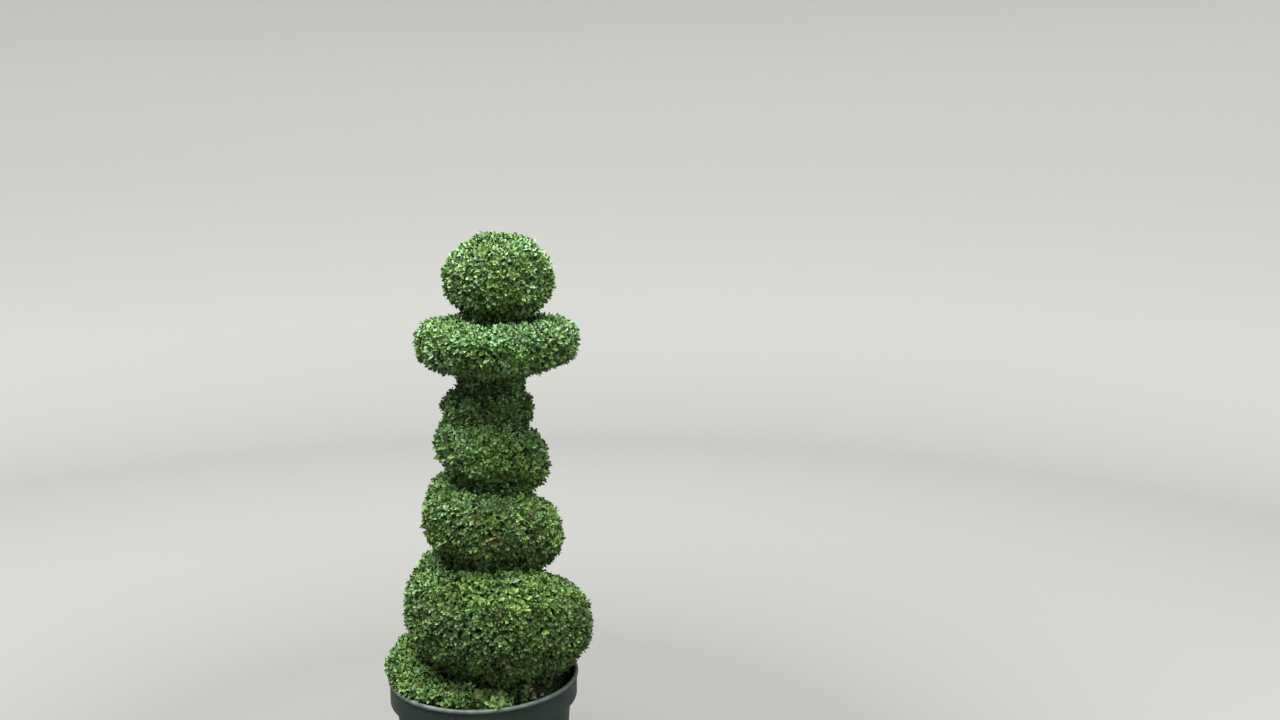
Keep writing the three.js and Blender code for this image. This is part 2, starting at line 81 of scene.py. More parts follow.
# Plant axis and trunk
AXIS_X = 0.022
AXIS_LEAN = 0.028
LEAN_FROM = 1.100
LEAN_TO = 1.271
TRUNK_FOOT = trunk_low.z
TRUNK_TIP = trunk_high.z
TRUNK_RADIUS = 0.019
TRUNK_TIP_RADIUS = 0.008
TRUNK_FLARE = 0.011
TRUNK_FLARE_HEIGHT = 0.034
TRUNK_BEND = 0.004
TRUNK_BEND_LENGTH = 0.520
TRUNK_BEND_SHARE_Y = 0.7
TRUNK_BEND_START_Y = 1.0
TRUNK_ROWS = 420
TRUNK_SIDES = 56
ROOT_SWELL = 0.16
ROOT_SWELL_HEIGHT = 0.03

# Spiral: height of the groove, reach of the roll and share of the reach that its groove keeps, on the left
# and the right side, turn by turn from turn -1
GROOVE_LEFT = [0.305, 0.487, 0.730, 0.948, 1.092, 1.167]
GROOVE_RIGHT = [0.397, 0.666, 0.880, 1.057, 1.156, 1.170]
ROLL_LEFT = [0.150, 0.281, 0.229, 0.175, 0.138, 0.120]
ROLL_RIGHT = [0.185, 0.270, 0.196, 0.161, 0.121, 0.110]
THROAT_LEFT = [0.72, 0.72, 0.72, 0.72, 0.74, 0.96]
THROAT_RIGHT = [0.72, 0.72, 0.72, 0.72, 0.92, 0.8]

# How much higher than a smooth line the groove runs in front, turn by turn from turn -1: it climbs fast from
# the right side and runs nearly level to the left one
FRONT_LIFT = np.array([0.0, 0.036, 0.012, 0.022, 0.0])
FRONT_LIFT_SKEW = 0.75

# Section of the roll, its ends and its splits, and the two rings on top
ROLL_MIDDLE = 0.41
ROLL_TOP_POWER = 2.0
ROLL_UNDER_POWER = 1.7
TAIL_START = -0.265
TAIL_TAPER = 0.14
TAIL_END_HEIGHT = 0.034
TAIL_END_REACH = 0.86
TAIL_LIFT = 0.004
SPLIT_AT = 0.25
SPIRAL_END = 4.4
COLLAR = dict(low=1.190, middle=1.271, high=1.345, reach=0.211, throat_under=0.090, throat_top=0.088,
              top_power=3.4, under_power=1.9, shift_x=0.0)
BALL = dict(low=1.347, middle=1.447, high=1.562, reach=0.142, throat_under=0.086, throat_top=0.0,
            top_power=2.0, under_power=2.2, shift_x=0.008)

# Pairs of leaves up a shoot: length, opening from the shoot, place along it, and how much they scatter
PAIR_LENGTHS = np.array([0.0165, 0.0190, 0.0185, 0.0155, 0.0110])
PAIR_OPEN = np.radians([78.0, 70.0, 60.0, 46.0, 26.0])
PAIR_PLACES = np.array([0.22, 0.42, 0.62, 0.81, 0.98])
PAIR_SCATTER = 0.16
PLACE_SCATTER = 0.02
LEAF_SIZES = (0.82, 1.15)

# One blade: half width, fold at the midrib and droop of the tip as shares of its length, and the turn on its
# stalk in radians
LEAF_WIDTH = 0.27
LEAF_FOLD = 0.10
LEAF_DROOP = 0.10
LEAF_TURN = 0.33

# Sprigs over the clipped surface: how many to the square metre, up to which latitude, and for each shoot its
# length, vigour, depth of the tip, and lift and spread of its direction
SPRIGS_PER_AREA = 5950
GROOVE_LATITUDE = 1.50
TURN_SCATTER = 0.0012
LATITUDE_SCATTER = 0.02
SHOOT_LENGTH = (0.030, 0.046)
SHOOT_VIGOUR = (0.82, 1.18)
SHOOT_DEPTH = (0.003, 0.012)
SHOOT_LIFT = 0.22
SHOOT_SPREAD = 0.34

# Some stand deeper: a share of them inside, and those in hollows, on the underside and on the shoulder. The
# underside is thinned.
INNER_SHARE = 0.16
INNER_DEPTH = (0.030, 0.065)
BUMP_DEPTH = 0.006
BUMP_LENGTH = 0.09
UNDER_DEPTH = 0.009
SHOULDER_DEPTH = 0.008
THINNED_LATITUDE = -0.75
THINNED_SHARE = 0.20
SOIL_CLEARANCE = 0.012

# Sprigs on flat tops and undersides, so many to the turn
FLOOR_SPRIGS = 680
FLOOR_WIDEST = 0.200
FLOOR_INNER = 0.40
FLOOR_RIM = -0.005
FLOOR_LEAN = 0.45
FLOOR_SPREAD = 0.3
FLOOR_SINK = 0.010
CEILING_DROOP = 0.45

# Rise and density of these sprigs: on most masses, on the tail, under the turns, round the neck
FLAT = (0.012, 1.0)
TAIL_FLAT = (0.012, 1.8)
CEILING = (0.012, 0.5)
NECK = (0.018, 3.0)

# Sprigs on the rounded end of the tail: latitudes, turns from the end, shares of the colour kinds
TAIL_END_SPRIGS = 420
TAIL_END_LATITUDES = (-1.2, 1.4)
TAIL_END_TURNS = (-0.07, 0.09)
TAIL_END_BULGE = 0.012
TAIL_END_SPREAD = 0.35
TAIL_END_KINDS = [0.22, 0.42, 0.16, 0.12, 0.08]
TAIL_END_VIGOUR = (0.85, 1.15)

# Wood: boughs, branches, the depth at which these end, and the first and last radius of each kind
BOUGHS_PER_TURN = 11
BOUGH_STEPS = 7
BRANCHES_PER_AREA = SPRIGS_PER_AREA / 9
BRANCH_STEPS = 5
ANCHOR_DEPTH = (0.058, 0.075)
BRANCH_RADII = (0.0034, 0.0017)
TWIG_RADII = (0.0013, 0.0009)
SHOOT_RADII = (0.00085, 0.0005)

# Colours that the leaves are dealt by spray. The pale blue-green kind is painted light: the sky's sheen on
# waxy leaves that face the light. The dark kind is mostly painted shade, dealt where the foliage is shaded.
LEAF_KINDS = {
    "sky_sheen": (0.106, 0.205, 0.084),
    "mid": (0.076, 0.152, 0.034),
    "shaded": (0.045, 0.090, 0.022),
    "young": (0.122, 0.222, 0.050),
    "olive": (0.068, 0.092, 0.022),
}
# Direction of the light that is painted into the leaves' colours
LIGHT_SIDE = np.array([-0.12, -0.05, 0.99])
SPRIG_TINT = 0.13
LEAF_TINT = 0.11

# Patches of foliage with a colour of their own, by centre and spread: fresh growth on the front of the
# lowest turn, on the right of the second one and on the ball, painted shade (darker leaves) low in front and
# in the middle of the second turn, brownish ones under it
PATCHES = [
    ((0.108, -0.150, 0.668), (0.085, 0.14, 0.045)),
    ((0.180, -0.080, 0.860), (0.07, 0.11, 0.07)),
    ((0.045, -0.120, 1.455), (0.06, 0.06, 0.06)),
    ((-0.010, -0.235, 0.575), (0.20, 0.14, 0.095)),
    ((0.020, -0.190, 0.865), (0.10, 0.10, 0.05)),
    ((-0.020, -0.170, 0.780), (0.13, 0.09, 0.050)),
]

# Bark chips on the growing mix, and clippings: kind, loose leaves, shoots that lie anywhere, shoots in the
# heap
CHIPS = 900
CHIP_SIZES = (0.0025, 0.0085)
# Most of the heap is of the paler kinds, painted light that lets it show in the shade of the lowest turn
CLIPPINGS = [("dry", 120, 2, 2), ("mid", 420, 30, 2), ("sky_sheen", 260, 18, 9), ("young", 110, 14, 10)]
HEAP_PLACE = np.array([0.080, -0.124])
HEAP_SPREAD = 0.016

# A tuft of young shoots at the front that leans out over the pot's lip
LIP_SHOOTS = 9
LIP_PLACE = np.array([0.028, -0.236, 0.409])
LIP_SPREAD = np.array([0.013, 0.004, 0.003])
LIP_LEAN = np.array([0.0, -0.8, 0.5])

# Stage: a round floor, the curve at its edge and the backdrop
STAGE_RADIUS = 4.6
STAGE_CURVE = 1.8
STAGE_DROP = 0.001
STAGE_HEIGHT = 5.2

# Steps of the even spread of sites, rows of points that nearest() compares at a time, waves in a ripple and
# the range that they add up to
GOLDEN_U = 0.7548776662466927
GOLDEN_V = 0.5698402909980532
NEAREST_ROWS = 400
RIPPLE_WAVES = 7
RIPPLE_RANGE = 3.2


def unit(vectors):
    return vectors / np.maximum(np.linalg.norm(vectors, axis=-1, keepdims=True), 1e-9)


def mix(low, high, part):
    return low + (high - low) * part


def smoothstep(value, low, high):
    part = np.clip((value - low) / (high - low), 0, 1)
    return part * part * (3 - 2 * part)


def polar(angle, radius, z):
    """Points round the z axis."""
    return np.stack([radius * np.cos(angle), radius * np.sin(angle), z + 0 * angle], -1)


def ripple(points, wavelength, seed):
    """Smooth seeded noise from about -1 to 1: a few plane waves in random directions."""
    rng = np.random.default_rng(seed)
    total = np.zeros(points.shape[:-1])
    for _ in range(RIPPLE_WAVES):
        direction = unit(rng.normal(size=3))
        stretch = rng.uniform(0.7, 1.5)
        phase = rng.uniform(0, math.tau)
        total += np.sin(points @ direction * (math.tau * stretch / wavelength) + phase)
    return total / RIPPLE_RANGE


def stations(left, right):
    """Smooth line through the left and right stations, read by turns from turn -1."""
    values = np.array([value for pair in zip(left, right) for value in pair])
    padded = np.concatenate([values[:1], values, values[-1:]])

    def read(turn):
        at = np.clip((np.asarray(turn, float) + 1) * 2, 0, len(values) - 1 - 1e-9)
        cell = np.floor(at).astype(int)
        t = at - cell
        before, here, after, beyond = (padded[np.minimum(cell + i, len(padded) - 1)] for i in range(4))
        slope_here = (after - before) / 2
        slope_after = (beyond - here) / 2
        cubic = 2 * here - 2 * after + slope_here + slope_after
        square = -3 * here + 3 * after - 2 * slope_here - slope_after
        return ((cubic * t + square) * t + slope_here) * t + here

    return read


groove_line = stations(GROOVE_LEFT, GROOVE_RIGHT)
roll_reach = stations(ROLL_LEFT, ROLL_RIGHT)
roll_throat = stations(THROAT_LEFT, THROAT_RIGHT)


def groove_height(turn):
    """The line through the stations, lifted between the right and the left side."""
    whole = np.floor(turn)
    lift = FRONT_LIFT[np.clip(whole + 1, 0, len(FRONT_LIFT) - 1).astype(int)]
    part = np.maximum((turn - whole) * 2 - 1, 0)
    return groove_line(turn) + lift * np.sin(math.pi * part ** FRONT_LIFT_SKEW) ** 2


def axis_x(z):
    return AXIS_X + AXIS_LEAN * smoothstep(z, LEAN_FROM, LEAN_TO)


def trunk_centre(z):
    z = np.asarray(z, float)
    bend = (z - TRUNK_FOOT) / TRUNK_BEND_LENGTH * math.tau
    x = axis_x(z) + TRUNK_BEND * np.sin(bend)
    y = TRUNK_BEND * np.sin(bend * TRUNK_BEND_SHARE_Y + TRUNK_BEND_START_Y)
    return np.stack([x, y, z], -1)


def trunk_radius(z):
    up = np.clip((z - TRUNK_FOOT) / (TRUNK_TIP - TRUNK_FOOT), 0, 1)
    flare = TRUNK_FLARE * np.exp(-np.maximum(z - TRUNK_FOOT, 0) / TRUNK_FLARE_HEIGHT)
    return mix(TRUNK_RADIUS, TRUNK_TIP_RADIUS, up) + flare


def roll_size(turn):
    """Sizes of the roll's section at some turns up the spiral, from the groove below to the groove above."""
    low = np.maximum(groove_height(turn - 1), SOIL_TOP + TAIL_LIFT)
    taper = np.clip((turn - TAIL_START) / TAIL_TAPER, 0, 1)
    swell = np.sqrt(1 - (1 - taper) ** 2)
    high = mix(low + TAIL_END_HEIGHT, groove_height(turn), swell)
    reach = roll_reach(turn) * mix(TAIL_END_REACH, 1, swell)
    return dict(low=low, middle=mix(low, high, ROLL_MIDDLE), high=high, reach=reach,
                throat_under=reach * roll_throat(turn),
                throat_top=roll_reach(turn + 1) * roll_throat(turn + 1),
                top_power=ROLL_TOP_POWER, under_power=ROLL_UNDER_POWER, shift_x=0.0)


class Mass(NamedTuple):
    """One clipped mass: a stretch of the spiral roll, or a ring that closes on itself."""

    name: str
    start: float
    end: float
    size: Callable
    top: tuple | None
    under: tuple | None

    def place(self, turn, radius, z):
        points = polar(math.pi - math.tau * turn, radius, z)
        points[..., 0] += axis_x(z) + self.size(turn)["shift_x"]
        return points

    def surface(self, turn, latitude):
        """Point of the clipped surface, by turn and by latitude on the cross-section."""
        size = self.size(turn)
        top = latitude > 0
        power = 2 / np.where(top, size["top_power"], size["under_power"])
        throat = np.where(top, size["throat_top"], size["throat_under"])
        out = np.maximum(np.cos(latitude), 0) ** power
        lift = np.abs(np.sin(latitude)) ** power
        span = np.where(top, size["high"], size["low"]) - size["middle"]
        return self.place(turn, throat + (size["reach"] - throat) * out, size["middle"] + span * lift)

    def slopes(self, turn, latitude, step=0.004):
        along = self.surface(turn + step, latitude) - self.surface(turn - step, latitude)
        across = self.surface(turn, latitude + step) - self.surface(turn, latitude - step)
        return along / (2 * step), across / (2 * step)

    def normal(self, turn, latitude):
        along, across = self.slopes(turn, latitude)
        return unit(np.cross(across, along))

    def sites(self, density, turn_cells=160, latitude_cells=60):
        """Even sites over the surface, so many to the square metre, as turns and latitudes."""
        turns = np.linspace(self.start, self.end, turn_cells + 1)
        latitudes = np.linspace(-GROOVE_LATITUDE, GROOVE_LATITUDE, latitude_cells + 1)
        grid = np.meshgrid((turns[1:] + turns[:-1]) / 2, (latitudes[1:] + latitudes[:-1]) / 2, indexing="ij")
        along, across = self.slopes(*grid)
        area = np.linalg.norm(np.cross(along, across), axis=-1)
        area *= (turns[1] - turns[0]) * (latitudes[1] - latitudes[0])
        count = int(area.sum() * density)
        serial = np.arange(count) + 0.5
        u = serial * GOLDEN_U % 1
        v = serial * GOLDEN_V % 1
        by_turn = np.concatenate([[0], np.cumsum(area.sum(1))]) / area.sum()
        turn = np.interp(u, by_turn, turns)
        row = np.clip(np.searchsorted(by_turn, u) - 1, 0, turn_cells - 1)
        steps = np.cumsum(area, 1) / area.sum(1, keepdims=True)
        steps = np.hstack([np.zeros((turn_cells, 1)), steps])
        ladder = (steps + np.arange(turn_cells)[:, None]).ravel()
        latitude = np.interp(v * 0.999 + row, ladder, np.tile(latitudes, turn_cells))
        return turn, latitude


MASSES = [
    Mass("tail", TAIL_START, SPLIT_AT, roll_size, TAIL_FLAT, None),
    Mass("turn_1", SPLIT_AT, SPLIT_AT + 1, roll_size, FLAT, CEILING),
    Mass("turn_2", SPLIT_AT + 1, SPLIT_AT + 2, roll_size, FLAT, CEILING),
    Mass("turn_3", SPLIT_AT + 2, SPLIT_AT + 3, roll_size, FLAT, CEILING),
    Mass("turn_4", SPLIT_AT + 3, SPIRAL_END, roll_size, NECK, CEILING),
    Mass("collar", 0.0, 1.0, lambda turn: COLLAR, FLAT, NECK),
    Mass("ball", 0.0, 1.0, lambda turn: BALL, None, FLAT),
]


# Meshes from arrays
def linked(name, data):
    """An object of the data, put into the scene."""
    made = bpy.data.objects.new(name, data)
    bpy.context.scene.collection.objects.link(made)
    return made


def piece(name, points, faces, material, slot, replaced=(), values=None, smooth=True):
    """A mesh object that rides on the one body. faces is a list of index arrays, each of one face size."""
    mesh = bpy.data.meshes.new(name)
    corners = np.concatenate([block.ravel() for block in faces]).astype(np.int32)
    sizes = np.concatenate([np.full(len(block), block.shape[1]) for block in faces])
    starts = np.concatenate([[0], np.cumsum(sizes)[:-1]]).astype(np.int32)
    mesh.vertices.add(len(points))
    mesh.vertices.foreach_set("co", np.asarray(points, np.float32).ravel())
    mesh.loops.add(len(corners))
    mesh.loops.foreach_set("vertex_index", corners)
    mesh.polygons.add(len(starts))
    mesh.polygons.foreach_set("loop_start", starts)
    mesh.polygons.foreach_set("use_smooth", np.full(len(starts), smooth))
    mesh.update(calc_edges=True)
    for key, numbers in (values or {}).items():
        layer = mesh.attributes.new(key, "FLOAT", "POINT")
        layer.data.foreach_set("value", np.asarray(numbers, np.float32).ravel())
    mesh.materials.append(material)
    made = linked(name, mesh)
    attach(made, "root")
    if replaced:
        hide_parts(*replaced)
    return made


def swept(lines, radii, sides, ripples=0.0, seed=0):
    """Tubes along polylines: lines is (tube, station, xyz) and radii is (tube, station)."""
    tubes, count, _ = lines.shape
    tangent = unit(np.gradient(lines, axis=1))
    start = unit(lines[:, -1] - lines[:, 0])
    helper = np.where(np.abs(start[:, 2:3]) < 0.8, [[0.0, 0.0, 1.0]], [[1.0, 0.0, 0.0]])[:, None, :]
    side = unit(np.cross(tangent, helper))
    other = np.cross(tangent, side)
    angle = np.arange(sides) * math.tau / sides
    ring = side[:, :, None] * np.cos(angle)[:, None] + other[:, :, None] * np.sin(angle)[:, None]
    points = lines[:, :, None] + ring * radii[:, :, None, None]
    if ripples:
        points += ring * (ripple(points, 0.018, seed) * radii[:, :, None] * ripples)[..., None]
    index = np.arange(tubes * count * sides).reshape(tubes, count, sides)
    a = index[:, :-1]
    b = index[:, 1:]
    quads = np.stack([a, np.roll(a, -1, 2), np.roll(b, -1, 2), b], -1).reshape(-1, 4)
    ends = [index[:, 0, ::-1], index[:, -1]]
    return points.reshape(-1, 3), [quads] + ends


def merged(parts):
    """One set of points and faces out of several."""
    points = []
    faces = []
    offset = 0
    for some_points, some_faces in parts:
        points.append(some_points)
        faces.extend(block + offset for block in some_faces)
        offset += len(some_points)
    return np.concatenate(points), faces


def ring_quads(index):
    """Quads between rings of points that close on themselves, one ring to the row."""
    after = np.roll(index, -1, 1)
    return np.stack([index[:-1], after[:-1], after[1:], index[1:]], -1).reshape(-1, 4)


def lathed(profile, segments):
    """A closed body turned about +Z from a profile of (radius, height) that starts and ends on the axis."""
    profile = np.array(profile)
    angle = np.arange(segments) * math.tau / segments
    rows = profile[1:-1]
    points = polar(angle, rows[:, :1], rows[:, 1:])
    index = np.arange(len(rows) * segments).reshape(len(rows), segments)
    after = np.roll(index, -1, 1)
    first = index.size
    start = np.stack([np.full(segments, first), after[0], index[0]], -1)
    end = np.stack([np.full(segments, first + 1), index[-1], after[-1]], -1)
    poles = [[0, 0, profile[0, 1]], [0, 0, profile[-1, 1]]]
    return np.concatenate([points.reshape(-1, 3), poles]), [ring_quads(index), start, end]


def arc(centre, radius, start, end, steps):
    """Points of (radius, height) on an arc, in degrees from the outward direction."""
    angle = np.radians(np.linspace(start, end, steps))
    return [(centre[0] + radius * math.cos(a), centre[1] + radius * math.sin(a)) for a in angle]


# Materials
class Nodes:
    """A node material round one Principled shader, written top down."""

    def __init__(self, name, roughness=0.5, specular=0.5, coat=0.0, coat_roughness=0.3):
        self.material = bpy.data.materials.new(name)
        self.material.use_nodes = True
        self.tree = self.material.node_tree
        self.shader = self.tree.nodes["Principled BSDF"]
        for key, value in (("Roughness", roughness), ("Specular IOR Level", specular),
                           ("Coat Weight", coat), ("Coat Roughness", coat_roughness)):
            self.shader.inputs[key].default_value = value
        self.place = self.tree.nodes.new("ShaderNodeTexCoord").outputs["Object"]

    def add(self, kind, links=None, **settings):
        node = self.tree.nodes.new(kind)
        for key, value in settings.items():
            if hasattr(node, key):
                setattr(node, key, value)
            else:
                node.inputs[key.replace("_", " ").title()].default_value = value
        for key, source in (links or {}).items():
            self.tree.links.new(source, node.inputs[key])
        return node

    def stretched(self, scale):
        return self.add("ShaderNodeMapping", {"Vector": self.place}, Scale=scale).outputs["Vector"]

    def noise(self, scale, detail=4.0, roughness=0.55, place=None):
        made = self.add("ShaderNodeTexNoise", {"Vector": place or self.place},
                        scale=scale, detail=detail, roughness=roughness)
        return made.outputs["Fac"]

    def ramp(self, source, stops):
        made = self.add("ShaderNodeValToRGB", {"Fac": source})
        ramp = made.color_ramp
        while len(ramp.elements) < len(stops):
            ramp.elements.new(0.5)
        for element, (at, colour) in zip(ramp.elements, stops):
            element.position = at
            element.color = (*colour, 1.0)
        return made.outputs["Color"]

    def grey(self, source, low, high, start=0.3, end=0.7):
        return self.ramp(source, [(start, (low,) * 3), (end, (high,) * 3)])

    def between(self, source, start, end, low=0.0, high=1.0):
        """low to high as the source goes from start to end."""
        made = self.add("ShaderNodeMapRange", {"Value": source},
                        from_min=start, from_max=end, to_min=low, to_max=high)
        return made.outputs["Result"]

    def blend(self, factor, first, second, how="MIX"):
        made = self.add("ShaderNodeMix", data_type="RGBA", blend_type=how)
        for socket, value in zip((made.inputs[0], made.inputs[6], made.inputs[7]), (factor, first, second)):
            if isinstance(value, (int, float)):
                socket.default_value = value
            elif isinstance(value, tuple):
                socket.default_value = (*value, 1.0)
            else:
                self.tree.links.new(value, socket)
        return made.outputs[2]

    def attribute(self, name):
        return self.add("ShaderNodeAttribute", attribute_name=name).outputs["Fac"]

    def colour(self, source):
        self.tree.links.new(source, self.shader.inputs["Base Color"])

    def rough(self, source):
        self.tree.links.new(source, self.shader.inputs["Roughness"])

    def relief(self, source, distance, strength=1.0):
        bump = self.add("ShaderNodeBump", {"Height": source}, strength=strength, distance=distance)
        self.tree.links.new(bump.outputs["Normal"], self.shader.inputs["Normal"])


def shade(colour, share):
    return tuple(min(channel * share, 1.0) for channel in colour)


def leaf_material(kind, colour):
    """Waxy leaf: each leaf has its own tint, a paler midrib and a slightly mottled blade."""
    nodes = Nodes("leaf_" + kind, roughness=0.55, specular=0.28, coat=0.03, coat_roughness=0.4)
    tint = nodes.attribute("tint")
    blade = nodes.ramp(tint, [(0.0, shade(colour, 0.74)), (0.5, colour), (1.0, shade(colour, 1.28))])
    mottle = nodes.grey(nodes.noise(260.0, 2.0), 0.84, 1.10)
    blade = nodes.blend(1.0, blade, mottle, "MULTIPLY")
    rib = nodes.grey(nodes.attribute("rib"), 0.0, 0.35, 0.72, 1.0)
    pale = (colour[0] * 1.7, colour[1] * 1.45, colour[2] * 1.5)
    nodes.colour(nodes.blend(rib, blade, pale))
    nodes.rough(nodes.grey(nodes.noise(120.0, 2.0), 0.48, 0.64))
    return nodes.material


def bark_material(name, light, dark, furrow):
    """Furrowed bark, paler on its ridges, with grey-green algae in patches."""
    nodes = Nodes(name, roughness=0.85, specular=0.25)
    long = nodes.stretched((1.0, 1.0, 0.28))
    ridge = nodes.noise(furrow, 6.0, 0.65, long)
    bark = nodes.ramp(ridge, [(0.34, dark), (0.52, light), (0.72, shade(light, 1.5))])
    algae = nodes.grey(nodes.noise(14.0, 3.0), 0.0, 0.45, 0.48, 0.7)
    nodes.colour(nodes.blend(algae, bark, (0.085, 0.105, 0.055)))
    nodes.rough(nodes.grey(ridge, 0.95, 0.72))
    nodes.relief(ridge, 0.0016)
    return nodes.material


def shoot_material():
    nodes = Nodes("shoot_bark", roughness=0.6, specular=0.35)
    ripe = nodes.noise(60.0, 3.0)
    nodes.colour(nodes.ramp(ripe, [(0.3, (0.060, 0.085, 0.025)), (0.6, (0.105, 0.125, 0.040)),
                                   (0.8, (0.105, 0.098, 0.043))]))
    nodes.rough(nodes.grey(ripe, 0.5, 0.7))
    return nodes.material


def plastic_material():
    """Dark satin plastic: soil splashed on its foot, rain marks, scuffs, painted highlight on the lip."""
    nodes = Nodes("pot_plastic", roughness=0.42, specular=0.16)
    height = nodes.add("ShaderNodeSeparateXYZ", {"Vector": nodes.place}).outputs["Z"]
    # Darker than the plastic's own colour: partly painted shade from the plant above
    dark, light = (0.0105, 0.0185, 0.0155), (0.0165, 0.028, 0.0240)
    body = nodes.ramp(nodes.noise(9.0, 5.0), [(0.3, dark), (0.7, light)])
    streak = nodes.noise(55.0, 3.0, 0.6, nodes.stretched((1.0, 1.0, 0.05)))
    rain = nodes.grey(streak, 0.0, 0.35, 0.55, 0.8)
    body = nodes.blend(rain, body, (0.038, 0.045, 0.038))
    low = nodes.between(height, 0.0, SPLASH_HEIGHT, 1.0, 0.0)
    splash = nodes.blend(1.0, nodes.grey(nodes.noise(34.0, 6.0, 0.7), 0.0, 1.0, 0.42, 0.68), low, "MULTIPLY")
    body = nodes.blend(splash, body, (0.120, 0.095, 0.065))
    # Painted highlight: a paler, broken band round the top of the lip
    lip = nodes.between(height, POT_HEIGHT - LIP_WIDTH, POT_HEIGHT - 0.001)
    lip_highlight = nodes.blend(1.0, nodes.grey(nodes.noise(42.0, 4.0), 0.25, 0.95, 0.3, 0.6), lip, "MULTIPLY")
    nodes.colour(nodes.blend(lip_highlight, body, (0.090, 0.112, 0.100)))
    scuff = nodes.noise(150.0, 5.0, 0.7, nodes.stretched((1.0, 1.0, 0.35)))
    nodes.rough(nodes.grey(scuff, 0.42, 0.64))
    nodes.relief(nodes.noise(700.0, 2.0), 0.00025)
    return nodes.material


def soil_material():
    nodes = Nodes("growing_mix", roughness=0.92, specular=0.2)
    grain = nodes.noise(240.0, 5.0, 0.7)
    # Greenish and light for soil: partly moss and fallen leaf bits, partly painted light in the plant's
    # shade
    nodes.colour(nodes.ramp(grain, [(0.32, (0.026, 0.046, 0.022)), (0.55, (0.080, 0.120, 0.060)),
                                    (0.75, (0.160, 0.170, 0.100))]))
    nodes.rough(nodes.grey(grain, 0.98, 0.78))
    nodes.relief(grain, 0.002)
    return nodes.material


def floor_material():
    """Matt pale stage, painted darker under the key lamp, lighter further out, to even out the light."""
    nodes = Nodes("studio_floor", roughness=0.8, specular=0.1)
    away = nodes.add("ShaderNodeVectorMath", {"Vector": nodes.place}, operation="LENGTH")
    part = nodes.between(away.outputs["Value"], 1.2, 6.0)
    # Painted shade near the plant, where the key lamp's light pools, and painted light out on the backdrop
    nodes.colour(nodes.ramp(part, [(0.0, (0.140, 0.140, 0.136)), (1.0, (0.44, 0.44, 0.43))]))
    return nodes.material


# Foliage
def leaf_points(root, along, face, length):
    """Seven points of each leaf: root, middle and tip of the midrib, and two points on each edge."""
    across = np.cross(along, face)
    far_width = LEAF_WIDTH * 0.98
    far_fold = LEAF_FOLD - LEAF_DROOP * 0.3
    outline = [
        (0.0, 0.0, 0.0), (0.0, 0.52, 0.05), (0.0, 1.0, -LEAF_DROOP),
        (-LEAF_WIDTH, 0.30, LEAF_FOLD), (-far_width, 0.70, far_fold),
        (LEAF_WIDTH, 0.30, LEAF_FOLD), (far_width, 0.70, far_fold),
    ]
    points = [root + (across * x + along * y + face * z) * length[:, None] for x, y, z in outline]
    return np.stack(points, 1)


LEAF_FACES = np.array([[0, 3, 1], [3, 4, 1], [4, 2, 1], [0, 1, 5], [5, 1, 6], [6, 1, 2]])
LEAF_RIB = np.array([1.0, 1.0, 1.0, 0.0, 0.0, 0.0, 0.0])
LEAF_POINTS = len(LEAF_RIB)


def leaf_piece(name, points, tint, material, replaced=()):
    """A piece of loose leaves. The leaf materials read each leaf's tint, and where its midrib runs."""
    faces = LEAF_FACES + LEAF_POINTS * np.arange(len(points))[:, None, None]
    values = {"tint": np.repeat(tint, LEAF_POINTS), "rib": np.tile(LEAF_RIB, len(points))}
    piece(name, points.reshape(-1, 3), [faces.reshape(-1, 3)], material, "foliage", replaced, values)


class Sprigs(NamedTuple):
    """Leafy shoots, with the colour kind that each is dealt."""

    tip: np.ndarray
    direction: np.ndarray
    length: np.ndarray
    kind: np.ndarray
    vigour: np.ndarray

    @property
    def foot(self):
        return self.tip - self.direction * self.length[:, None]


def clear_of_solids(points):
    """True for points that are above the soil and outside the pot's wall and the trunk."""
    from_axis = np.hypot(points[..., 0], points[..., 1])
    z = points[..., 2]
    inside_wall = LIP_INNER - 0.012
    outside_wall = POT_RADIUS + 0.002
    in_wall = (z < POT_HEIGHT + 0.002) & (from_axis > inside_wall) & (from_axis < outside_wall)
    off_trunk = np.hypot(*np.moveaxis(points - trunk_centre(z), -1, 0)[:2])
    in_trunk = (z < TRUNK_TIP) & (off_trunk < trunk_radius(z) + 0.001)
    return ~in_wall & ~in_trunk & ((z > SOIL_TOP + 0.001) | (from_axis >= outside_wall))


def near(points, centre, spread):
    """1 at the centre of a patch, falling off smoothly over its spread in each direction."""
    return np.exp(-np.sum(((points - centre) / spread) ** 2, -1))


